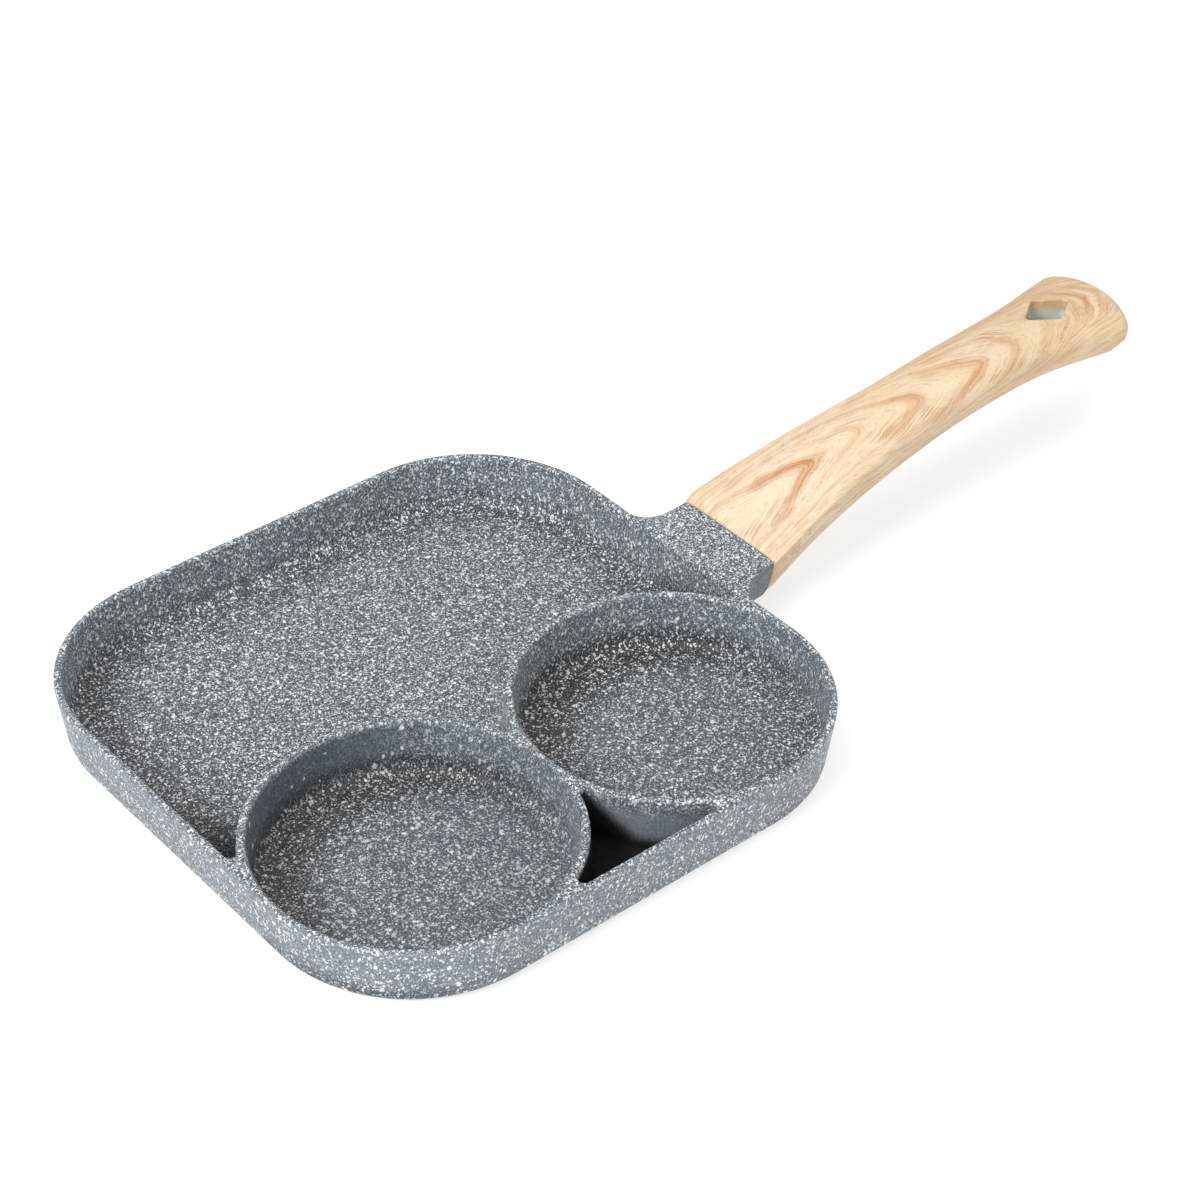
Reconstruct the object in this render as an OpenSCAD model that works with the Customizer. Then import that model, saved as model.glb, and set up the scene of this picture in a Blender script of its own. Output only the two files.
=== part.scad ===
// Square frying pan cast in one piece with a large well and two round wells,
// with a moulded handle that plugs into the pan's neck and is held by one screw.
// The origin is the middle of the base, +X runs along the handle, +Y to the large well.

/* [Pan] */
// Width of the pan across its rim, the same both ways
pan_w = 190; // [160:1:240]
// Height of the rim above the base
pan_h = 21; // [18:0.5:30]
// Thickness of the floor
floor_t = 3; // [2:0.1:5]
// Thickness of the outer wall at the rim
rim_w = 2.4; // [2.2:0.1:4]
// Thickness of the round wells' walls at the top
ring_w = 2.6; // [2.2:0.1:4]
// Thickness of the wall that the two round wells share, where it is thinnest
well_gap = 2; // [2:0.1:5]
// Radius that rounds the top edges of all walls
lip_r = 0.9; // [0.5:0.05:0.95]
// Radius between the walls and the floor inside the wells
floor_fillet = 4; // [2:0.5:6]
// Radius in plan where two walls of a well meet
corner_fillet = 1.75; // [1:0.05:3]
// Lean of the outer wall
outer_draft = 7; // [2:0.5:10]
// Lean of the walls inside the wells
inner_draft = 4; // [1:0.5:7]
// Radius of the outer edge round the base
base_edge_r = 4; // [1:0.5:5]
// Radius of the turned area under the base
turned_r = 70; // [40:1:75]
// Distance from one turned groove to the next
groove_pitch = 7; // [5:0.5:15]
// Width of a turned groove
groove_w = 1.2; // [0.6:0.1:2.5]
// Depth of a turned groove
groove_d = 0.4; // [0.2:0.1:1]

/* [Neck] */
// Distance from the pan's side to the face that meets the handle
neck_reach = 16.5; // [16:0.5:30]
// Width of the neck at the handle
neck_w = 41.2; // [36:0.2:46]
// Lean in plan by which each side of the neck widens towards the pan
neck_flare = 3.5; // [0:0.5:6]
// Depth of the neck at the handle
neck_t = 20; // [18.5:0.5:24]
// Height of the neck's top above the rim, at the handle
neck_rise = 1.6; // [0:0.1:6]
// Radius in plan between the neck and the pan's side
neck_root_r = 9; // [4:0.5:14]

/* [Handle] */
// Length of the handle from the neck to its end
handle_len = 165; // [150:1:210]
// Width of the handle just behind the neck
front_w = 44.2; // [42.8:0.2:50]
// Thickness of the handle at the neck
front_t = 18.6; // [17:0.2:19]
// Width of the handle at its waist
waist_w = 27.8; // [24:0.2:34]
// Distance from the neck to the waist
waist_at = 97.5; // [70:0.5:110]
// Greatest width near the handle's end
end_w = 39; // [34:0.2:44]
// Thickness of the handle along the grip
grip_t = 17.4; // [14:0.2:20]
// Thickness of the handle near its end
end_t = 12; // [10:0.2:15]
// Height of the handle's crown above the neck's top
handle_rise = 25.9; // [10:0.1:50]
// Distance from the neck to the crown
crown_at = 132; // [115:1:140]
// Drop of the handle's top from the crown to its end
end_drop = 0.6; // [0:0.1:8]
// Length of the rounding of the handle's end in plan
end_round = 7; // [5:0.5:14]
// Length of the rounding of the handle's end in side view
nose_len = 4; // [2:0.5:5]
// Height that this rounding takes off the end's top
nose_top = 2; // [1:0.1:3]
// Height that it takes off the end's underside
nose_low = 3.6; // [1:0.1:4]

/* [Hanging hole] */
// Distance from the neck to the middle of the hanging hole
hang_at = 139.5; // [130:0.5:142]
// Length of the diamond-shaped hole along the handle
hang_l = 20.6; // [14:0.2:24]
// Width of the diamond-shaped hole
hang_w = 14; // [12:0.2:18]
// Radius of the hole's corners
hang_corner_r = 1.6; // [0.8:0.1:2.5]
// Radius that rounds the hole's edges
hang_lip = 1; // [0.4:0.1:1.5]

/* [Fixing] */
// Width of the handle's tongue
tongue_w = 23.4; // [16:0.2:26]
// Height of the handle's tongue
tongue_h = 11.2; // [9:0.2:11.6]
// Length of the handle's tongue
tongue_len = 13.6; // [12:0.2:15]
// Gap between the tongue and its socket at the sides, top and end
socket_gap = 0.3; // [0.1:0.05:0.6]
// Thickness of the neck below the socket
socket_floor = 3.8; // [3.4:0.1:5]
// Diameter of the fixing screw's thread
screw_d = 4.8; // [4:0.1:6]
// Length of the fixing screw below its head
screw_len = 9; // [7:0.5:10]
// Diameter of the fixing screw's head
head_d = 9.2; // [8.4:0.1:11]
// Gap round the screw in the neck
screw_gap = 0.25; // [0.1:0.05:0.5]
// Gap round the screw in the tongue
pilot_gap = 0.03; // [0.02:0.01:0.1]
// Depth of the flat recess round the screw's head
spot_depth = 0.7; // [0.5:0.1:1.2]

/* [Hidden] */
$fn = 64;

// Colours
stone_grey = [0.48, 0.51, 0.54];
pale_wood = [0.90, 0.79, 0.62];
steel = [0.75, 0.75, 0.76];

// Numbers of steps along the curves
lip_steps = 3;
fillet_steps = 5;
edge_steps = 6;
corner_steps = 18;
ring_steps = 28;
pocket_steps = 9;
tip_steps = 6;
section_steps = 48;
// Distance by which a cutting solid passes the surface that it cuts
over = 1;
// Smallest radius left where two walls meet near the floor
tip_min = 0.3;
// Angles of the sections along the neck's root and along the rounding of the handle's end
root_angles = [0 : 12 : 84];
end_angles = [15 : 12.5 : 90];

// Plan of the pan: the round wells' radius and the distance of their centres from the middle
inner_half = pan_w / 2 - rim_w;
well_r = (2 * inner_half - well_gap) / 4;
well_c = inner_half - well_r;
ring_r = well_r + ring_w;
outer_r = pan_w / 2 - well_c;

// Neck and handle along X
side_x = pan_w / 2;
face_x = side_x + neck_reach;
neck_top = pan_h + neck_rise;
neck_bottom = neck_top - neck_t;
crown_z = neck_top + handle_rise;
// Bevel on the neck's and the handle's edges where they meet
seam = 0.3;
// Length over which the handle's front edge swells to its full size
swell_len = 6;
// Swelling of the handle's top behind the neck
swell_t = 0.6;
// Exponent of the swelling, and shares of its length at which sections lie
swell_exp = 3;
swell_shares = [0.17, 0.33, 0.6];
// Exponents by which the handle widens from its waist to its end
widen_exp = 3.6;
widen_end_exp = 2.1;
// Length over which the neck's section changes into the grip's
blend_len = 82;
// Length over which the handle is deeper behind the neck
throat_len = 40;
// Length over which the handle thins before its end
thin_len = 13;
// Exponent of the end's rounding in plan, and the share of it that is kept before a small flat
end_exp = 1.8;
end_share = 0.985;
// Angle through which the hanging hole's rounded edges turn, just short of level
hang_turn = 75;
// Growth of the hole's outline where its cutting solid leaves the handle
hang_flare = 3 * over + hang_lip;
// Depth by which the neck's top dips into the rim's crest
crest_sink = lip_r / 4;

// Exponents of the section's upper and lower halves, at the neck and at the grip
neck_top_exp = 5;
neck_low_exp = 4;
grip_exp = 2.5;
// Share of its width that the neck's section loses towards its bottom
neck_narrowing = 0.15;
// Depth of the widest level below the top, as a share of the depth
neck_wide_at = 0.105;
grip_wide_at = 0.5;

// Fixing
// Length of the tongue that lies inside the handle
tongue_root = 2;
socket_z = neck_bottom + socket_floor;
screw_x = face_x - tongue_len / 2;
head_h = (head_d - screw_d) / 2;
head_z = neck_bottom + spot_depth;
// Room round the screw's head in its flat recess
head_room = 1;
// Cross recess of the screw: length and width as shares of the head's diameter, and depth as a
// share of the head's height
recess_l = 0.5 * head_d;
recess_w = 0.12 * head_d;
recess_d = 0.7 * head_h;

// Points of an arc, from angle a to angle b in n steps, without the first one if skip is 1
function arc(x, y, r, a, b, n, skip = 0) =
    [for (k = [skip : n]) let (t = a + (b - a) * k / n) [x + r * cos(t), y + r * sin(t)]];

function smoothstep(t) = let (s = max(0, min(1, t))) s * s * (3 - 2 * s);

// Inner wall of a well as [distance in from the lip line, height], from the floor up
lean = tan(inner_draft);
lip_foot = [lip_r * (cos(inner_draft) - 1), pan_h - lip_r + lip_r * sin(inner_draft)];
fillet_z = floor_t + floor_fillet;
fillet_in = lip_foot[0] + (lip_foot[1] - fillet_z) * lean + floor_fillet / cos(inner_draft);
// Angle at which the rounded lip ends, just short of level
lip_end = 80;
wall = concat(
    arc(fillet_in, fillet_z, floor_fillet, 270, 180 + inner_draft, fillet_steps),
    arc(-lip_r, pan_h - lip_r, lip_r, inner_draft, lip_end, lip_steps),
    [[-lip_r, pan_h + over]]
);

// Outer wall as [distance out from the centre of a corner, height], from the base up
outer_foot = [outer_r - lip_r * (1 - cos(outer_draft)), pan_h - lip_r - lip_r * sin(outer_draft)];
edge_x = outer_foot[0] - (outer_foot[1] - base_edge_r) * tan(outer_draft) - base_edge_r / cos(outer_draft);
outer_profile = concat(
    [[0, 0]],
    arc(edge_x, base_edge_r, base_edge_r, -90, -outer_draft, edge_steps),
    arc(outer_r - lip_r, pan_h - lip_r, lip_r, -outer_draft, 90, edge_steps),
    [[0, pan_h]]
);

// Fillet between two walls that stand i in from their lip lines
function tip_r(i) = max(corner_fillet - i, tip_min);
// Its distance from a round well's centre, along the straight wall and square to it
function tip_x(i) = well_r - i - tip_r(i);
function tip_y(i) = sqrt(pow(ring_r + i + tip_r(i), 2) - pow(tip_x(i), 2));
// The same for the fillet between the two round walls
function cusp_y(i) = sqrt(pow(ring_r + i + tip_r(i), 2) - pow(well_c, 2));

// Outline of the large well, i in from its lip line
function large_outline(i) =
    let (t = tip_r(i), r = ring_r + i, tx = tip_x(i), ty = tip_y(i), cy = cusp_y(i),
         ta = atan2(ty, tx), ca = atan2(cy, well_c))
    concat(
        arc(well_c, well_c, well_r - i, 0, 90, corner_steps),
        arc(-well_c, well_c, well_r - i, 90, 180, corner_steps),
        arc(-well_c - tx, ty - well_c, t, 180, 360 - ta, tip_steps),
        arc(-well_c, -well_c, r, 180 - ta, ca, ring_steps, 1),
        arc(0, cy - well_c, t, 180 + ca, 360 - ca, tip_steps, 1),
        arc(well_c, -well_c, r, 180 - ca, ta, ring_steps, 1),
        arc(well_c + tx, ty - well_c, t, 180 + ta, 360, tip_steps, 1)
    );

// Outline of the three-cornered pocket, i in from its lip line
function pocket_outline(i) =
    let (t = tip_r(i), r = ring_r + i, tx = tip_x(i), ty = tip_y(i), cy = cusp_y(i),
         ta = atan2(ty, tx), ca = atan2(cy, well_c))
    concat(
        arc(ty - well_c, -well_c - tx, t, 90 + ta, 270, tip_steps, 1),
        arc(well_c - ty, -well_c - tx, t, 270, 450 - ta, tip_steps),
        arc(well_c, -well_c, r, 270 - ta, 180 + ca, pocket_steps, 1),
        arc(0, -well_c - cy, t, ca, 180 - ca, tip_steps, 1),
        arc(-well_c, -well_c, r, -ca, ta - 90, pocket_steps, 1)
    );

// Point on a section of the neck or handle at angle a, with half width w, top, widest level and
// bottom, and the exponents and narrowing of its halves
function rim_point(x, a, w, top, mid, low, up_exp, low_exp, narrowing) =
    let (c = cos(a), s = sin(a), n = s >= 0 ? up_exp : low_exp,
         level = pow(abs(s), 2 / n),
         reach = w * sign(c) * pow(abs(c), 2 / n) * (s >= 0 ? 1 : 1 - narrowing * level))
    [x, reach, s >= 0 ? mid + (top - mid) * level : mid - (mid - low) * level];

// Bevel left at a distance from the face where the neck and the handle meet
function bevel(distance) = max(0, seam - distance);

// Section of the neck at x
function neck_half(x) =
    let (s = max(0, min(1, (x - side_x) / neck_root_r)))
    neck_w / 2 + (face_x - x) * tan(neck_flare)
    + neck_root_r * (1 - sqrt(1 - pow(1 - s, 2))) - bevel(face_x - x);
function neck_z(x) = neck_top - (neck_rise + crest_sink) * (face_x - x) / (neck_reach + rim_w / 2);
function neck_section(x) =
    let (b = bevel(face_x - x), top = neck_z(x) - b,
         mid = neck_z(x) - neck_t * neck_wide_at)
    [for (k = [0 : section_steps - 1])
        rim_point(x, 360 * k / section_steps, neck_half(x), top, mid, neck_bottom + b,
                  neck_top_exp, neck_low_exp, neck_narrowing)];

// Half width, top and thickness of the handle at distance d from the neck
function swell(d) = pow(max(0, 1 - d / swell_len), swell_exp);
function nose(d) =
    let (q = max(0, (d - handle_len + nose_len) / nose_len))
    1 - sqrt(max(0, 1 - q * q));
function end_rounding(d) =
    let (q = end_share * max(0, (d - handle_len + end_round) / end_round))
    pow(1 - pow(q, end_exp), 1 / end_exp);
function body_half(d) =
    d < waist_at
    ? (waist_w + (front_w - waist_w) * pow(1 - d / waist_at, 2)) / 2
    : let (t = min(1, (d - waist_at) / (handle_len - end_round - waist_at)))
      (waist_w + (end_w - waist_w) * (1 - pow(1 - pow(t, widen_exp), widen_end_exp))) / 2;
function handle_half(d) =
    (body_half(d) - (front_w - neck_w) / 2 * swell(d)) * end_rounding(d) - bevel(d);
function handle_top(d) =
    d < crown_at
    ? crown_z - (handle_rise - swell_t) * pow(1 - d / crown_at, 2)
    : crown_z - end_drop * pow((d - crown_at) / (handle_len - crown_at), 2);
function handle_t(d) =
    grip_t
    + (front_t + swell_t - grip_t) * pow(max(0, 1 - d / throat_len), 2)
    - (grip_t - end_t) * smoothstep((d - handle_len + thin_len) / thin_len);

// Section of the handle at distance d from the neck
function handle_section(d) =
    let (u = smoothstep(d / blend_len),
         top = handle_top(d) - swell_t * swell(d) - nose_top * nose(d) - bevel(d),
         low = handle_top(d) - handle_t(d) + nose_low * nose(d) + bevel(d),
         mid = top - (top - low) * (neck_wide_at + (grip_wide_at - neck_wide_at) * u))
    [for (k = [0 : section_steps - 1])
        rim_point(face_x + d, 360 * k / section_steps, handle_half(d), top, mid, low,
                  neck_top_exp + (grip_exp - neck_top_exp) * u,
                  neck_low_exp + (grip_exp - neck_low_exp) * u,
                  neck_narrowing * (1 - u))];

// Places of the neck's and the handle's sections
neck_stations = concat(
    [inner_half - floor_fillet],
    [for (a = root_angles) side_x + neck_root_r * (1 - cos(a))],
    [side_x + neck_root_r, face_x - seam, face_x]
);
body_count = 32;
body_end = handle_len - end_round;
handle_stations = concat(
    [0, seam],
    [for (s = swell_shares) swell_len * s],
    [for (k = [0 : body_count]) swell_len + (body_end - swell_len) * k / body_count],
    [for (a = end_angles) body_end + end_round * sin(a)]
);

// Outline of the hanging hole, grown by g, with rounded corners
hang_slope = atan2(hang_w, hang_l);
function hang_outline(g) =
    let (r = hang_corner_r, long = hang_l / 2 + g / sin(hang_slope) - r / sin(hang_slope),
         wide = hang_w / 2 + g / cos(hang_slope) - r / cos(hang_slope), s = hang_slope)
    concat(
        arc(long, 0, r, s - 90, 90 - s, tip_steps),
        arc(0, wide, r, 90 - s, 90 + s, tip_steps),
        arc(-long, 0, r, 90 + s, 270 - s, tip_steps),
        arc(0, -wide, r, 270 - s, 270 + s, tip_steps)
    );

// Faces between the mirrored points a, a + 1 and so on, and b, b - 1 and so on, of n points
function strip(a, b, count, n) =
    [for (j = [0 : count - 1]) [a + j, a + j + 1, (b - j - 1 + n) % n, (b - j + n) % n]];

// Faces that fill the large well's outline: the wide part, the two side tongues, and the throat
// from the fillet between the round walls up to their tops
large_count = 2 * (corner_steps + 1 + ring_steps) + 3 * tip_steps + 1;
large_left = 2 * corner_steps + 1;
large_cusp = large_left + 1 + tip_steps + ring_steps + tip_steps / 2;
large_reach = (tip_steps + ring_steps) / 2;
large_faces = concat(
    [concat([for (k = [0 : large_left]) k],
            [large_cusp - large_reach, large_cusp + large_reach])],
    [[for (k = [large_left : large_cusp - large_reach]) k]],
    [concat([0], [for (k = [large_cusp + large_reach : large_count - 1]) k])],
    [[large_cusp - 1, large_cusp, large_cusp + 1]],
    strip(large_cusp + 1, large_cusp - 1, large_reach - 1, large_count)
);

// Faces that fill the pocket's outline, from its straight side to the corner between the round walls
pocket_count = 3 * tip_steps + 2 * pocket_steps + 1;
pocket_pairs = (pocket_count - 1) / 2;
pocket_top = tip_steps + pocket_pairs;
pocket_faces = concat(
    strip(tip_steps, tip_steps - 1, pocket_pairs - 1, pocket_count),
    [[pocket_top - 1, pocket_top, pocket_top + 1]]
);

// Solid through closed loops of points, stacked along +X or +Z. A loop that isn't convex is given
// with the faces that fill it
module loft(loops, faces = undef) {
    n = len(loops[0]);
    m = len(loops);
    sides = [for (j = [0 : m - 2]) for (k = [0 : n - 1])
        let (a = j * n + k, b = j * n + (k + 1) % n)
        each [[a + n, b + n, b], [a + n, b, a]]];
    first_cap = is_undef(faces) ? [[for (k = [0 : n - 1]) k]] : faces;
    last_cap = [for (f = first_cap) [for (k = [len(f) - 1 : -1 : 0]) (m - 1) * n + f[k]]];
    polyhedron([for (l = loops) each l], concat(first_cap, last_cap, sides), convexity = 10);
}

// Solid with a profile swept round a square with round corners
module square_sweep(reach, profile, height) {
    for (q = [0 : 3])
        rotate(90 * q)
            translate([reach, reach, 0]) {
                rotate_extrude(angle = 90) polygon(profile);
                rotate([90, 0, 0]) linear_extrude(2 * reach) polygon(profile);
            }
    translate([-reach, -reach, 0]) cube([2 * reach, 2 * reach, height]);
}

module round_well() {
    points = concat([[0, floor_t]], [for (p = wall) [well_r - p[0], p[1]]], [[0, pan_h + over]]);
    rotate_extrude() polygon(points);
}

module large_well() {
    loft([for (p = wall) [for (q = large_outline(p[0])) [q[0], q[1], p[1]]]], large_faces);
}

module pocket() {
    loft([for (p = wall) [for (q = pocket_outline(p[0])) [q[0], q[1], p[1]]]], pocket_faces);
}

module turned_grooves() {
    for (r = [turned_r : -groove_pitch : groove_pitch])
        rotate_extrude()
            polygon([[r - groove_w / 2, -over], [r + groove_w / 2, -over],
                     [r + groove_w / 2, 0], [r, groove_d], [r - groove_w / 2, 0]]);
}

// Rectangular block from x to the far end, centred on Y
module tongue_block(x, end_x, width, z, height) {
    translate([x, -width / 2, z]) cube([end_x - x, width, height]);
}

module socket() {
    tongue_block(face_x - tongue_len - socket_gap, face_x + over, tongue_w + 2 * socket_gap,
                 socket_z, tongue_h + socket_gap);
}

// Space for the screw in the neck: a flat recess, a seat for the head and a clear hole
module screw_way() {
    grow = screw_gap;
    translate([screw_x, 0, 0]) {
        translate([0, 0, neck_bottom - over])
            cylinder(d = head_d + 2 * head_room, h = over + spot_depth);
        translate([0, 0, head_z])
            cylinder(d1 = head_d, d2 = screw_d, h = head_h);
        translate([0, 0, head_z])
            cylinder(d = screw_d + 2 * grow, h = socket_floor);
    }
}

// Cast body of the pan with its neck
module pan_body() {
    color(stone_grey)
        difference() {
            union() {
                square_sweep(well_c, outer_profile, pan_h);
                loft([for (x = neck_stations) neck_section(x)]);
            }
            large_well();
            pocket();
            for (x = [-well_c, well_c])
                translate([x, -well_c, 0]) round_well();
            turned_grooves();
            socket();
            screw_way();
        }
}

// Moulded handle with its tongue and hanging hole
module handle() {
    hang_top = handle_top(hang_at);
    hang_low = hang_top - handle_t(hang_at);
    hang_x = face_x + hang_at;
    hang_levels = concat(
        [[hang_flare, hang_low - over]],
        arc(hang_lip, hang_low + hang_lip, hang_lip, 180 + hang_turn, 180, lip_steps),
        arc(hang_lip, hang_top - hang_lip, hang_lip, 180, 180 - hang_turn, lip_steps),
        [[hang_flare, hang_top + over]]
    );
    color(pale_wood)
        difference() {
            union() {
                loft([for (d = handle_stations) handle_section(d)]);
                tongue_block(face_x - tongue_len, face_x + tongue_root, tongue_w,
                             socket_z, tongue_h);
            }
            loft([for (l = hang_levels)
                [for (q = hang_outline(l[0])) [hang_x + q[0], q[1], l[1]]]]);
            translate([screw_x, 0, socket_z - over])
                cylinder(d = screw_d + 2 * pilot_gap, h = over + screw_len - socket_floor + over);
        }
}

// Countersunk screw, put in from below, with a cross recess
module fixing_screw() {
    color(steel)
        translate([screw_x, 0, head_z])
            difference() {
                union() {
                    cylinder(d1 = head_d, d2 = screw_d, h = head_h);
                    cylinder(d = screw_d, h = screw_len);
                }
                for (turn = [0, 90])
                    rotate(turn)
                        translate([-recess_l / 2, -recess_w / 2, -over])
                            cube([recess_l, recess_w, recess_d + over]);
            }
}

pan_body();
handle();
fixing_screw();
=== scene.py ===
# Divided frying pan with a speckled stone coating and a wood-effect handle
import math

import bpy
from mathutils import Matrix, Vector

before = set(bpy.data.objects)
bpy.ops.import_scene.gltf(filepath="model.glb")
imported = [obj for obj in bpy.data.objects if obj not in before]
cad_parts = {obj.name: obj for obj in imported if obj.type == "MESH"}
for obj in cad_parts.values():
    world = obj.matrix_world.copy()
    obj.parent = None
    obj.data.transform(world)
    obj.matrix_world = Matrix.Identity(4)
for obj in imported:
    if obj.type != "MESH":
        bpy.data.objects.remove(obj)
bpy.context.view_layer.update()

MM = 0.001
scene = bpy.context.scene

# Measures of the pan that its coat uses, in metres. A round well's wall runs from RING_IN, past
# the middle of its lip at RING_LIP, to RING_OUT.
RIM_Z = 21 * MM
PAN_END = 95.5 * MM
WELL_CENTRE = 46.8 * MM
RING_R = 48.4 * MM
RING_IN = RING_R - 2.6 * MM
RING_LIP = RING_R - 1.4 * MM
RING_OUT = RING_R - 0.6 * MM
TURNED_R = 70 * MM

# Measures of the handle that its grain uses. Places along it are measured from the neck's face.
FACE_X = 111.5 * MM
NECK_TOP = 22.6 * MM
HANDLE_RISE = 25.9 * MM
CROWN_AT = 132 * MM
HANG_AT = 139.5 * MM
HANG_L = 20.6 * MM
HANG_W = 14 * MM

# Specks of the coat: the cell that holds one, the largest one's radius and the share of cells
# that have one
LARGE_SPECKS = (2.7 * MM, 0.78 * MM, 0.5)
MIDDLE_SPECKS = (1.4 * MM, 0.5 * MM, 0.8)
SMALL_SPECKS = (0.78 * MM, 0.34 * MM, 1.0)
DARK_SPECKS = (1.6 * MM, 0.42 * MM, 0.45)
SPECK_SOFTNESS = 0.1

# The wood's broad rings: place of the arch from the neck, half width and strength
RING_BANDS = ((34.0, 9.5, 0.95), (53.0, 4.5, 0.4), (76.0, 6.0, 0.7), (103.0, 6.0, 0.7),
              (120.0, 4.5, 0.5), (137.0, 5.0, 0.4), (149.5, 3.5, 0.55), (155.5, 3.0, 0.85),
              (161.5, 3.0, 0.6), (171.0, 6.0, 0.6), (184.0, 6.0, 0.5))

# Colours as six-digit hexadecimal ones
COAT = {"ground": "4B545B", "pale ground": "8A9299", "pepper": "2B3238", "salt": "E2E5E7",
        "speck": "F0F2F3", "large speck": "F7F8F8", "dark speck": "20262B",
        "well_shade": "14171A", "shade": "131516", "metal": "8C9094", "bright metal": "B9BCBE"}
WOOD = {"pale": "EFDCBF", "warm": "E3CCA6", "band": "BF8753", "stroke": "C6976A",
        "fine stroke": "B27F52", "hair line": "A9764A", "fibre": "D5B389", "pore": "98693F",
        "far edge": "B99A7C", "streak": "B5855B"}
MOULDING = {"upper": "D3D9D3", "upper pale": "DDE0D6", "deep_shade": "6E7269"}
STEEL = {"dark": "A9ABAD", "light": "D2D3D4"}

SHARP_DEGREES = 36
WELD = 0.002 * MM


# Nodes

class Nodes:
    """The node tree of a material or a world."""

    def __init__(self, owner):
        owner.use_nodes = True
        self.owner = owner
        self.tree = owner.node_tree
        self.tree.nodes.clear()

    def add(self, kind, inputs=None, **settings):
        n = self.tree.nodes.new(kind)
        for key, value in settings.items():
            setattr(n, key, value)
        for key, value in (inputs or {}).items():
            self.put(value, n.inputs[key])
        return n

    def put(self, value, socket):
        if isinstance(value, bpy.types.NodeSocket):
            self.tree.links.new(value, socket)
        else:
            socket.default_value = value

    def math(self, operation, *values, clamp=False):
        inputs = dict(enumerate(values))
        return self.add("ShaderNodeMath", inputs, operation=operation, use_clamp=clamp).outputs[0]

    def chain(self, operation, values):
        out = values[0]
        for v in values[1:]:
            out = self.math(operation, out, v)
        return out

    def total(self, *values):
        return self.chain("ADD", values)

    def product(self, *values):
        return self.chain("MULTIPLY", values)

    def most(self, *values):
        return self.chain("MAXIMUM", values)

    def off(self, mask, share=1.0):
        """1 off the mask, and 1 - share on it."""
        if share != 1.0:
            mask = self.product(mask, share)
        return self.math("SUBTRACT", 1.0, mask)

    def split(self, vector):
        return self.add("ShaderNodeSeparateXYZ", {"Vector": vector}).outputs

    def vector(self, operation, *values, result="Vector"):
        inputs = dict(enumerate(values))
        return self.add("ShaderNodeVectorMath", inputs, operation=operation).outputs[result]

    def stretch(self, vector, x, y, z):
        return self.vector("MULTIPLY", vector, (x, y, z))

    def step(self, value, low, high, to_low=0.0, to_high=1.0):
        """Smooth change from to_low at low to to_high at high. Low may be above high."""
        if low > high:
            low, high, to_low, to_high = high, low, to_high, to_low
        return self.add("ShaderNodeMapRange", {"Value": value, "From Min": low, "From Max": high,
                                               "To Min": to_low, "To Max": to_high},
                        interpolation_type="SMOOTHSTEP").outputs[0]

    def noise(self, vector, scale, detail=2.0, roughness=0.5):
        return self.add("ShaderNodeTexNoise", {"Vector": vector, "Scale": scale, "Detail": detail,
                                               "Roughness": roughness, "Distortion": 0.0},
                        noise_dimensions="3D")

    def line_noise(self, value, scale, detail=2.0, roughness=0.5):
        return self.add("ShaderNodeTexNoise", {"W": value, "Scale": scale, "Detail": detail,
                                               "Roughness": roughness},
                        noise_dimensions="1D").outputs[0]

    def mix(self, factor, a, b):
        n = self.add("ShaderNodeMix", data_type="RGBA", blend_type="MIX")
        self.put(factor, n.inputs[0])
        self.put(colour(a), n.inputs[6])
        self.put(colour(b), n.inputs[7])
        return n.outputs[2]

    def bump(self, height, distance, strength, normal=None):
        n = self.add("ShaderNodeBump", {"Height": height, "Distance": distance,
                                        "Strength": strength})
        if normal:
            self.put(normal, n.inputs["Normal"])
        return n.outputs[0]

    def surface(self, **inputs):
        shader = self.add("ShaderNodeBsdfPrincipled")
        for key, value in inputs.items():
            self.put(value, shader.inputs[key.replace("_", " ")])
        return self.end("ShaderNodeOutputMaterial", shader)

    def end(self, kind, shader):
        self.add(kind, {0: shader.outputs[0]})
        return self.owner


def material_nodes(name):
    return Nodes(bpy.data.materials.new(name))


def colour(value):
    """Linear RGBA of a six-digit hexadecimal colour or of an RGB one. A socket stays as it is."""
    if isinstance(value, str):
        parts = [int(value[i:i + 2], 16) / 255 for i in (0, 2, 4)]
        value = tuple(p / 12.92 if p <= 0.04045 else ((p + 0.055) / 1.055) ** 2.4 for p in parts)
    if isinstance(value, tuple):
        return (*value, 1.0)
    return value


# Materials

def speckles(n, place, cell, radius, share):
    """Irregular specks in cells of a size: mask and a random value for each speck."""
    v = n.add("ShaderNodeTexVoronoi", {"Vector": place, "Scale": 1 / cell},
              voronoi_dimensions="3D", feature="F1")
    chosen, tint, _ = n.add("ShaderNodeSeparateColor", {"Color": v.outputs["Color"]}).outputs
    size = n.math("POWER", n.step(chosen, 1 - share, 1.0), 0.6)
    reach = n.product(size, radius / cell)
    gap = n.math("SUBTRACT", reach, v.outputs["Distance"])
    mask = n.math("DIVIDE", gap, SPECK_SOFTNESS * radius / cell, clamp=True)
    return mask, tint


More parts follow.
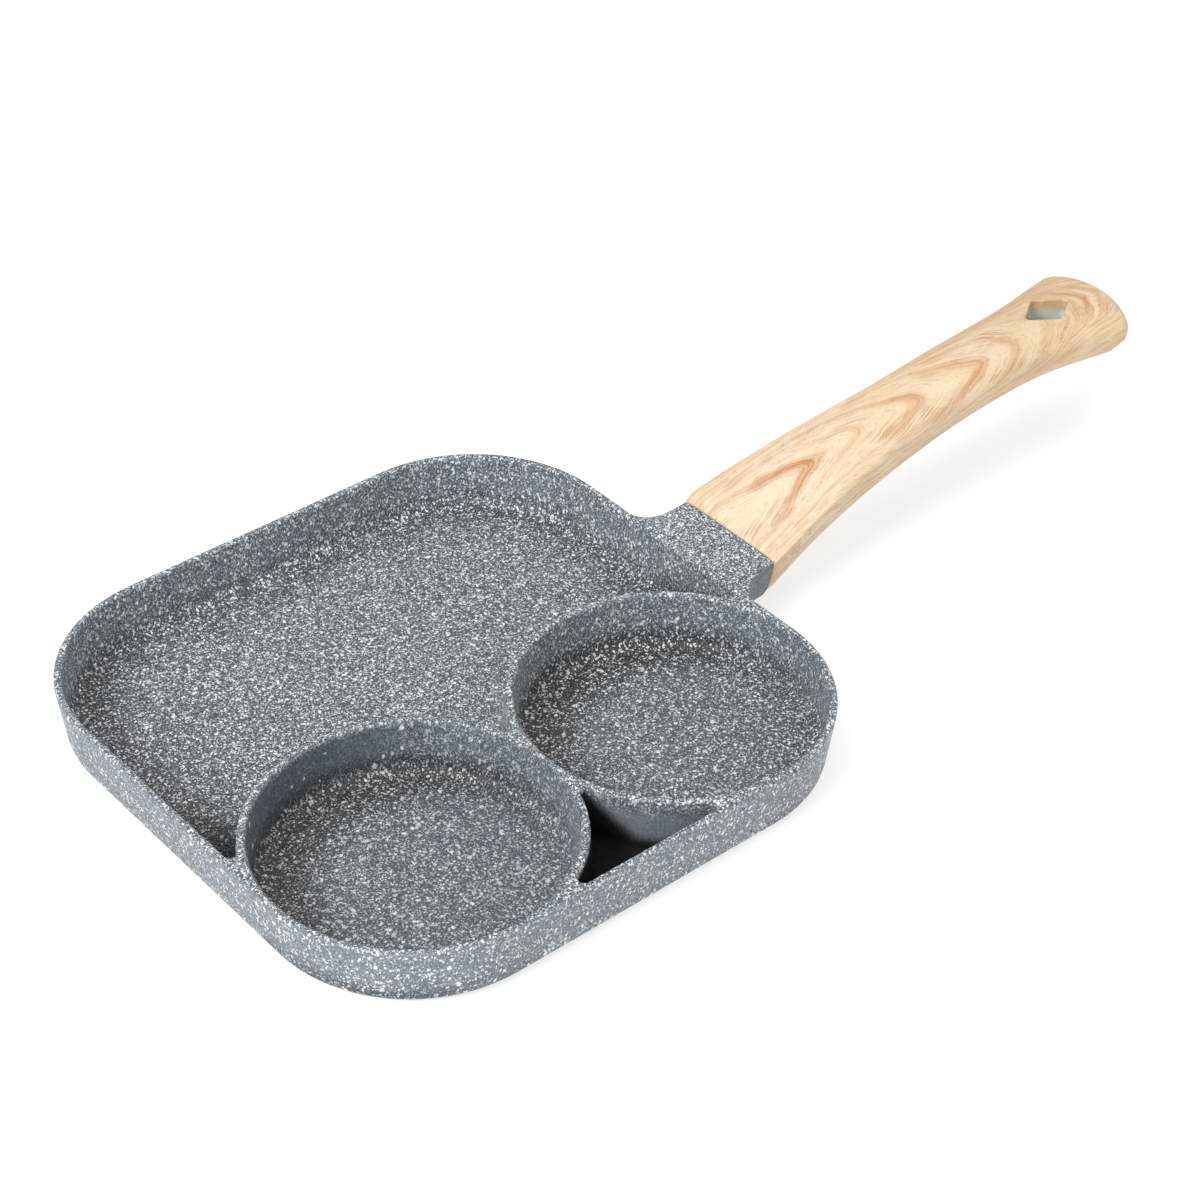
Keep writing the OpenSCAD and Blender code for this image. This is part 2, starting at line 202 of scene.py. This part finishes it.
def stone_coating():
    n = material_nodes("stone_coating")
    place = n.add("ShaderNodeTexCoord").outputs["Object"]
    x, y, z = n.split(place)
    facing = n.add("ShaderNodeNewGeometry").outputs["Normal"]
    face_x, face_y, face_z = n.split(facing)

    def distance(cx, cy):
        """How far a point lies from an upright axis."""
        flat = n.stretch(n.vector("SUBTRACT", place, (cx, cy, 0.0)), 1.0, 1.0, 0.0)
        return n.vector("LENGTH", flat, result="Value")

    # The rounded square's outer walls: far from its core, with a normal that points away from it
    past = n.vector("SUBTRACT", n.vector("ABSOLUTE", place), (WELL_CENTRE, WELL_CENTRE, 1.0))
    core = n.vector("MAXIMUM", past, (0.0, 0.0, 0.0))
    outward = n.vector("MULTIPLY", core, n.vector("SIGN", place))
    away = n.vector("DOT_PRODUCT", outward, facing, result="Value")
    reach = n.vector("LENGTH", core, result="Value")
    away = n.math("DIVIDE", away, reach)
    on_square = n.step(x, PAN_END + 1.5 * MM, PAN_END)
    outside = n.product(n.step(reach, 42 * MM, 43.5 * MM), n.step(away, 0.1, 0.8), on_square)

    # Where the coat is smooth: the pocket's walls, the neck's sides, and part of the wall of the
    # round well that lies away from the handle
    far_ring, near_ring = distance(-WELL_CENTRE, -WELL_CENTRE), distance(WELL_CENTRE, -WELL_CENTRE)
    below_rim = n.step(z, RIM_Z - 0.7 * MM, RIM_Z - 2.2 * MM)
    above_base = n.step(z, 2.2 * MM, 2.6 * MM)
    pocket = n.product(n.step(far_ring, RING_LIP, RING_OUT), n.step(near_ring, RING_LIP, RING_OUT),
                       n.step(y, -55 * MM, -58 * MM),
                       n.step(n.math("ABSOLUTE", x), 36 * MM, 34 * MM),
                       n.off(outside), below_rim, above_base)
    side = n.product(n.step(x, 101 * MM, 102.5 * MM),
                     n.step(n.math("ABSOLUTE", face_y), 0.62, 0.85))
    sideways = n.total(n.product(face_x, 0.76), n.product(face_y, -0.65))
    # The far well's wall that faces away from the light: its coat is smoother, and its ground is
    # darkened as painted shade
    shaded_far_wall = n.product(n.step(far_ring, RING_R - 2 * MM, RING_IN), n.step(z, 4 * MM, 8 * MM),
                         below_rim, n.step(sideways, -0.3, 0.4))
    smooth = n.most(n.product(pocket, n.step(z, 20 * MM, 14 * MM, 0.3, 1.0)), side)
    keep = n.off(smooth, 0.93)
    keep_fine = n.product(keep, n.off(shaded_far_wall, 0.8),
                          n.step(far_ring, RING_LIP, RING_IN, 1.0, 0.65),
                          n.step(near_ring, RING_LIP, RING_IN, 1.0, 0.85))

    # Specks are a little longer up the walls, and ragged
    stretched = n.stretch(place, 1.0, 1.0, 0.75)
    ragged = n.noise(place, 1300).outputs["Color"]
    offset = n.stretch(n.vector("SUBTRACT", ragged, (0.5, 0.5, 0.5)), 1.3 * MM, 1.3 * MM, 1.3 * MM)
    spot = n.vector("ADD", stretched, offset)
    large, large_tint = speckles(n, spot, *LARGE_SPECKS)
    middle, middle_tint = speckles(n, spot, *MIDDLE_SPECKS)
    small, small_tint = speckles(n, spot, *SMALL_SPECKS)
    dark, dark_tint = speckles(n, spot, *DARK_SPECKS)

    # Painted shade: the ground between the specks is darkened low in the wells and near their
    # walls, and a painted shadow falls most of all along the side of the round wells that lies away
    # from the middle of their light
    low = n.product(n.step(z, 11 * MM, 4 * MM), above_base, n.off(outside), on_square)
    near_wall = n.step(reach, 24 * MM, 42 * MM)
    far_side = n.product(n.step(x, -35 * MM, -80 * MM), n.step(y, -12 * MM, 4 * MM))
    foot_shade = n.product(low, n.total(n.product(near_wall, 0.3), n.product(far_side, 0.2), 0.22))
    crescent_shadows = []
    for cx, ring, amount in ((-WELL_CENTRE, far_ring, 0.84), (WELL_CENTRE, near_ring, 0.86)):
        lit = distance(cx + 7 * MM, -WELL_CENTRE - 11 * MM)
        crescent_shadows.append(n.product(n.step(lit, 28 * MM, 47 * MM, 0.0, amount),
                                   n.step(ring, RING_LIP, RING_IN),
                                   n.step(z, 13.5 * MM, 4.5 * MM), above_base))
    well_shade = n.most(foot_shade, n.most(*crescent_shadows))

    # Fine grit: strong on the floors and the upper faces, weaker up the walls and in the painted
    # shade, and the ground is lighter on the outer walls, up the walls and where the coat is smooth
    upright = n.step(face_z, 0.85, 0.45)
    in_ring = n.step(n.math("MINIMUM", far_ring, near_ring), RING_LIP, RING_IN)
    weak = n.most(n.product(upright, 0.3), n.product(shaded_far_wall, 0.85), n.product(outside, 0.55),
                  n.product(smooth, 0.95), n.product(well_shade, 0.75), n.product(in_ring, 0.42),
                  n.product(low, far_side, 0.4))
    strong = n.off(weak)
    grit = n.noise(stretched, 2050, roughness=0.6).outputs[0]
    salt = n.step(n.math("SUBTRACT", grit, n.product(weak, 0.06)), 0.545, 0.605)
    pepper = n.step(grit, 0.44, 0.37)
    cloud = n.noise(place, 70, detail=3.0).outputs[0]
    dust = n.noise(place, 3100, detail=1.0).outputs[0]
    pale = n.most(n.product(outside, 0.57), n.product(upright, 0.3), n.product(smooth, 0.7))
    pale = n.math("SUBTRACT", pale, n.product(side, 0.3))
    # Painted shade: the ground of the far well's wall that faces away from the light is darker
    pale = n.product(pale, n.off(shaded_far_wall, 0.75))
    tone = n.total(n.step(grit, 0.35, 0.6, -0.15, 0.25), n.step(cloud, 0.3, 0.7, -0.06, 0.06), pale)
    out = n.mix(tone, COAT["ground"], COAT["pale ground"])
    out = n.mix(n.product(pepper, strong, 0.5), out, COAT["pepper"])
    # Painted shade and painted shadow darken the ground here
    out = n.mix(well_shade, out, COAT["well_shade"])
    out = n.mix(n.product(salt, strong, n.step(dust, 0.3, 0.65, 0.45, 0.95)), out, COAT["salt"])
    for mask, tint, faintest in ((small, small_tint, 0.5), (middle, middle_tint, 0.65)):
        out = n.mix(n.product(mask, keep_fine, n.step(tint, 0, 1, faintest, 1.0)), out,
                    COAT["speck"])
    large = n.product(large, n.step(n.most(outside, shaded_far_wall), 0.0, 1.0, 0.55, 1.0))
    out = n.mix(n.product(large, keep, n.step(large_tint, 0, 1, 0.55, 1.0)), out,
                COAT["large speck"])
    out = n.mix(n.product(dark, keep_fine, n.step(dark_tint, 0, 1, 0.3, 0.9)), out,
                COAT["dark speck"])

    # Painted shade: the coat is darkened deep in the pocket and in the narrow tongues beside the
    # round wells, and a painted shadow line runs along the joint with the handle
    slant = n.total(z, n.product(x, 1.7))
    deep_shade = n.most(n.step(slant, 25 * MM, 17 * MM), n.step(z, 10 * MM, 5.5 * MM))
    deep_shade = n.product(pocket, deep_shade)
    tongue_shade = n.most(n.step(distance(-88 * MM, -9 * MM), 34 * MM, 4 * MM),
                     n.step(distance(88 * MM, -9 * MM), 26 * MM, 4 * MM))
    tongue_shade = n.product(tongue_shade, n.step(z, 17 * MM, 3 * MM), above_base, 0.85, n.off(outside),
                        n.step(far_ring, RING_R - 2 * MM, RING_R - 1 * MM),
                        n.step(near_ring, RING_R - 2 * MM, RING_R - 1 * MM))
    joint_shadow = n.product(n.step(x, FACE_X - 0.6 * MM, FACE_X - 0.25 * MM), 0.55)
    shade = n.most(deep_shade, tongue_shade, joint_shadow)
    out = n.mix(n.product(shade, 0.95), out, COAT["shade"])

    # The underside's turned area is bare metal
    radius = distance(0.0, 0.0)
    bare = n.product(n.step(z, 0.55 * MM, 0.45 * MM),
                     n.step(radius, TURNED_R + 1.2 * MM, TURNED_R + 0.7 * MM))
    turning = n.line_noise(radius, 2200, detail=3.0, roughness=0.6)
    out = n.mix(bare, out, n.mix(turning, COAT["metal"], COAT["bright metal"]))

    rough = n.step(n.noise(place, 900).outputs[0], 0.2, 0.8, 0.42, 0.6)
    rough = n.math("SUBTRACT", rough, n.product(bare, 0.12))
    relief = n.total(n.product(salt, 0.3), n.product(large, 0.35), n.product(middle, 0.25))
    coat = n.bump(relief, 0.05 * MM, 0.35)
    lathe = n.bump(n.product(turning, bare), 0.04 * MM, 0.5, coat)
    # The painted shade is also given less gloss
    gloss = n.step(shade, 0.0, 1.0, 0.5, 0.05)
    return n.surface(Base_Color=out, Roughness=rough, Metallic=n.product(bare, 0.9), Normal=lathe,
                     IOR=1.45, Specular_IOR_Level=gloss)


def wood_effect():
    n = material_nodes("wood_effect")
    place = n.add("ShaderNodeTexCoord").outputs["Object"]
    x, y, z = n.split(place)
    along = n.math("SUBTRACT", x, FACE_X)

    def grain(length, scale, detail, roughness=0.5):
        """Noise drawn out along the handle: the smaller length is, the longer it runs."""
        return n.noise(n.stretch(place, length, 1.0, 1.0), scale, detail, roughness).outputs[0]

    # Depth below the handle's top line
    left = n.math("SUBTRACT", 1.0, n.math("DIVIDE", along, CROWN_AT), clamp=True)
    top = n.math("SUBTRACT", NECK_TOP + HANDLE_RISE, n.product(left, left, HANDLE_RISE))
    depth = n.math("SUBTRACT", top, z)

    # Growth rings: arches that point to the handle's end and trail back along its edges, wider
    # round the hanging hole. Their middle line leans to the near side further along.
    warp = n.noise(place, 42).outputs["Color"]
    warp_x, warp_y, _ = n.split(n.vector("SUBTRACT", warp, (0.5, 0.5, 0.5)))
    lean = n.step(along, 25 * MM, 105 * MM, -1 * MM, -7 * MM)
    lean = n.total(lean, n.step(along, 115 * MM, 150 * MM, 0.0, 5 * MM))
    across = n.math("SUBTRACT", n.total(y, n.product(warp_y, 5 * MM)), lean)
    spread = n.step(along, 40 * MM, 150 * MM, 3.0, 1.1)
    rho = n.total(n.product(across, across), n.product(depth, depth, 1.6))
    blunt = 2.6 * MM
    arms = n.math("SUBTRACT", n.math("SQRT", n.total(rho, blunt ** 2)), blunt)
    outer = n.most(n.math("SUBTRACT", arms, 7 * MM), 0.0)
    rings = n.total(along, n.product(arms, spread), n.product(outer, outer, 700.0),
                    n.product(warp_x, 14 * MM))
    rings = n.total(rings, n.product(grain(0.4, 300, 3.0), 3 * MM))
    flow = n.add("ShaderNodeCombineXYZ", {0: rings, 1: n.product(across, 0.3),
                                          2: n.product(depth, 0.3)}).outputs[0]

    # Broad brown bands at set arches, strongest at the arches' tips
    bands = 0.0
    for at, half, strength in RING_BANDS:
        offset = n.math("ABSOLUTE", n.math("SUBTRACT", rings, at * MM))
        bands = n.most(bands, n.step(offset, 0.0, half * MM, strength, 0.0))
    off_tip = n.math("ABSOLUTE", across)
    bands = n.product(bands, n.step(off_tip, 2.5 * MM, 11 * MM, 1.15, 0.45))

    # Strokes that follow the rings, thin lines on the arches' arms, fibres and pores
    strokes = n.noise(flow, 520, detail=3.0, roughness=0.6).outputs[0]
    fine = n.noise(flow, 1500, roughness=0.6).outputs[0]
    broken = grain(0.35, 420, 2.0)
    patchy = grain(0.3, 150, 1.0)
    lines = n.math("ABSOLUTE", n.math("SUBTRACT", n.line_noise(rings, 330), 0.5))
    hair = n.product(n.step(lines, 0.1, 0.02), n.step(off_tip, 1.5 * MM, 6 * MM, 0.15, 1.0),
                     n.step(patchy, 0.35, 0.6, 0.1, 1.0), n.step(broken, 0.3, 0.55, 0.35, 1.0))
    fibre = grain(0.08, 2600, 3.0, 0.65)
    patch = n.noise(place, 55).outputs[0]
    pore = n.product(n.step(grain(0.16, 2100, 1.0), 0.62, 0.7),
                     n.step(strokes, 0.4, 0.6, 0.3, 1.0))

    further = n.step(along, 15 * MM, 75 * MM, 0.0, 0.6)
    out = n.mix(n.total(n.step(patch, 0.3, 0.7, 0.0, 0.4), further), WOOD["pale"], WOOD["warm"])
    out = n.mix(n.product(bands, n.step(strokes, 0.3, 0.62, 0.45, 1.0)), out, WOOD["band"])
    tip = n.step(off_tip, 1 * MM, 6 * MM, 0.35, 1.0)
    out = n.mix(n.product(n.step(strokes, 0.53, 0.7), n.step(broken, 0.4, 0.62, 0.1, 0.5), tip),
                out, WOOD["stroke"])
    out = n.mix(n.product(n.step(fine, 0.5, 0.68), n.step(broken, 0.3, 0.6, 0.12, 0.5), tip),
                out, WOOD["fine stroke"])
    out = n.mix(n.product(hair, n.step(along, 95 * MM, 130 * MM, 0.55, 0.4)), out,
                WOOD["hair line"])
    out = n.mix(n.step(fibre, 0.45, 0.75, 0.0, 0.3), out, WOOD["fibre"])
    out = n.mix(n.product(pore, n.step(bands, 0, 0.8, 0.25, 0.6)), out, WOOD["pore"])

    # The far edge is browner as painted shade where the surface turns away, with brown streaks
    # further along
    edge = n.step(n.math("DIVIDE", depth, 9 * MM), 0.12, 0.75)
    far_edge_shade = n.product(edge, n.step(y, 2 * MM, 9 * MM))
    out = n.mix(n.product(far_edge_shade, 0.35), out, WOOD["far edge"])
    streaks = n.product(n.step(y, 1 * MM, 10 * MM), n.step(along, 60 * MM, 130 * MM),
                        n.step(strokes, 0.4, 0.6, 0.2, 1.0))
    out = n.mix(n.product(streaks, 0.42), out, WOOD["streak"])

    # Inside the hole the moulding's own grey shows below the printed surface, with painted shade
    # deeper down and in the corner towards the neck
    hole_x = n.math("ABSOLUTE", n.math("SUBTRACT", along, HANG_AT))
    hole_y = n.math("ABSOLUTE", y)
    diamond = n.total(n.math("DIVIDE", hole_x, HANG_L / 2), n.math("DIVIDE", hole_y, HANG_W / 2))
    facing = n.add("ShaderNodeNewGeometry").outputs["Normal"]
    flat = n.math("ABSOLUTE", n.split(facing)[2])
    hole_inside_and_shade = n.product(n.step(diamond, 1.12, 1.06), n.step(depth, 1.2 * MM, 6.5 * MM),
                      n.step(flat, 0.8, 0.6))
    out = n.mix(hole_inside_and_shade, out, n.mix(patch, MOULDING["upper"], MOULDING["upper pale"]))
    # Painted shade in the hole: darker deeper down and in the corner towards the neck
    hole_corner_shade = n.step(along, HANG_AT - 3.5 * MM, HANG_AT - 10 * MM, 0.0, 0.6)
    hole_inside_and_shade = n.product(hole_inside_and_shade, n.most(n.step(depth, 6.5 * MM, 11 * MM, 0.0, 0.75), hole_corner_shade))
    out = n.mix(hole_inside_and_shade, out, MOULDING["deep_shade"])

    rough = n.step(fibre, 0.3, 0.7, 0.45, 0.58)
    height = n.total(n.product(fibre, 0.6), n.product(strokes, -0.3), n.product(pore, -0.8))
    return n.surface(Base_Color=out, Roughness=rough, Normal=n.bump(height, 0.05 * MM, 0.3),
                     IOR=1.45)


def steel():
    n = material_nodes("steel")
    place = n.add("ShaderNodeTexCoord").outputs["Object"]
    brush = n.noise(n.stretch(place, 1.0, 0.08, 1.0), 5200, detail=3.0).outputs[0]
    out = n.mix(brush, STEEL["dark"], STEEL["light"])
    return n.surface(Base_Color=out, Metallic=1.0, Roughness=n.step(brush, 0.3, 0.7, 0.28, 0.42),
                     Normal=n.bump(brush, 0.02 * MM, 0.3))


def dress(node, material):
    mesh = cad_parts[node].data
    mesh.materials.clear()
    mesh.materials.append(material)


dress("pan_body", stone_coating())
dress("handle", wood_effect())
dress("fixing_screw", steel())


# Smooth shading of the CAD solids, whose facets are fine enough for it

def smoother():
    group = bpy.data.node_groups.new("smoother", "GeometryNodeTree")
    group.interface.new_socket("Geometry", in_out="INPUT", socket_type="NodeSocketGeometry")
    group.interface.new_socket("Geometry", in_out="OUTPUT", socket_type="NodeSocketGeometry")
    add, link = group.nodes.new, group.links.new
    start, end = add("NodeGroupInput"), add("NodeGroupOutput")
    plain = add("GeometryNodeRemoveAttribute")
    plain.inputs["Name"].default_value = "custom_normal"
    weld = add("GeometryNodeMergeByDistance")
    weld.inputs["Distance"].default_value = WELD
    faces = add("GeometryNodeSetShadeSmooth")
    faces.domain = "FACE"
    edges = add("GeometryNodeSetShadeSmooth")
    edges.domain = "EDGE"
    edges.inputs["Shade Smooth"].default_value = False
    angle = add("GeometryNodeInputMeshEdgeAngle")
    sharp = add("FunctionNodeCompare")
    sharp.operation = "GREATER_THAN"
    sharp.inputs[1].default_value = math.radians(SHARP_DEGREES)
    steps = (start, plain, weld, faces, edges, end)
    for before, after in zip(steps, steps[1:]):
        link(before.outputs[0], after.inputs[0])
    link(angle.outputs[0], sharp.inputs[0])
    link(sharp.outputs[0], edges.inputs["Selection"])
    return group


group = smoother()
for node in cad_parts.values():
    node.modifiers.new("smoother", "NODES").node_group = group
    node.modifiers.new("weighted", "WEIGHTED_NORMAL").keep_sharp = True


# Floor, backdrop and light

def seen_directly(n):
    """1 for rays from the camera, in gloss or through glass, and 0 for light that spreads."""
    path = n.add("ShaderNodeLightPath").outputs
    return n.most(path["Is Camera Ray"], n.most(path["Is Glossy Ray"], path["Is Transmission Ray"]))


def floor():
    size, centre = 6.0, 0.09
    mesh = bpy.data.meshes.new("floor")
    corners = [(centre + sx * size, sy * size, 0.0)
               for sx, sy in ((-1, -1), (1, -1), (1, 1), (-1, 1))]
    mesh.from_pydata(corners, [], [(0, 1, 2, 3)])
    obj = bpy.data.objects.new("floor", mesh)
    scene.collection.objects.link(obj)
    n = material_nodes("floor_paper")
    place = n.add("ShaderNodeTexCoord").outputs["Object"]
    grain = n.noise(place, 400).outputs[0]
    seen = seen_directly(n)
    paper = n.mix(seen, n.mix(grain, (0.86, 0.86, 0.86), (0.9, 0.9, 0.9)), (0.42, 0.42, 0.42))
    shader = n.add("ShaderNodeBsdfDiffuse", {"Color": paper})
    glow = n.add("ShaderNodeEmission", {"Color": (1.0, 1.0, 1.0, 1.0),
                                        "Strength": n.product(seen, 0.7)})
    both = n.add("ShaderNodeAddShader", {0: shader.outputs[0], 1: glow.outputs[0]})
    mesh.materials.append(n.end("ShaderNodeOutputMaterial", both))


def backdrop():
    scene.world = bpy.data.worlds.new("studio")
    n = Nodes(scene.world)
    soft = n.add("ShaderNodeBackground", {"Color": (0.97, 0.99, 1.0, 1.0), "Strength": 0.36})
    white = n.add("ShaderNodeBackground", {"Color": (1.0, 1.0, 1.0, 1.0), "Strength": 1.0})
    n.end("ShaderNodeOutputWorld", n.add("ShaderNodeMixShader", {
        0: seen_directly(n), 1: soft.outputs[0], 2: white.outputs[0]}))


def area_light(name, place, aim, size, power):
    light = bpy.data.lights.new(name, "AREA")
    light.shape = "DISK"
    light.size = size
    light.energy = power
    obj = bpy.data.objects.new(name, light)
    scene.collection.objects.link(obj)
    place, aim = Vector(place), Vector(aim)
    turn = (place - aim).to_track_quat("Z", "Y").to_matrix().to_4x4()
    obj.matrix_world = Matrix.Translation(place) @ turn


floor()
backdrop()
area_light("key", (-1.3, -0.1, 1.25), (0.05, 0.0, 0.01), 0.9, 24.0)
area_light("top", (0.3, 0.2, 1.7), (0.05, 0.0, 0.01), 1.6, 11.0)
area_light("fill", (-0.1, -1.5, 0.5), (0.1, 0.0, 0.02), 0.9, 5.8)


# Camera, found from the photograph's outlines

TARGET = Vector((0.076415, 0.020136, 0.0))
AZIMUTH = math.radians(-40.695)
ELEVATION = math.radians(37.737)
ROLL = math.radians(1.036)
DISTANCE = 0.915417
FOCAL_PIXELS = 2924.539
IMAGE_PIXELS = 1200

back = Vector((math.sin(AZIMUTH) * math.cos(ELEVATION), -math.cos(AZIMUTH) * math.cos(ELEVATION),
               math.sin(ELEVATION)))
right = Vector((math.cos(AZIMUTH), math.sin(AZIMUTH), 0.0))
up = back.cross(right)
turned_right = right * math.cos(ROLL) + up * math.sin(ROLL)
turned_up = up * math.cos(ROLL) - right * math.sin(ROLL)
camera = bpy.data.objects.new("camera", bpy.data.cameras.new("camera"))
camera.data.sensor_width = 36.0
camera.data.lens = FOCAL_PIXELS / IMAGE_PIXELS * camera.data.sensor_width
camera.data.clip_start = 0.01
camera.matrix_world = Matrix((turned_right, turned_up, back)).transposed().to_4x4()
camera.matrix_world.translation = TARGET + back * DISTANCE
scene.collection.objects.link(camera)
scene.camera = camera
scene.view_settings.view_transform = "Standard"
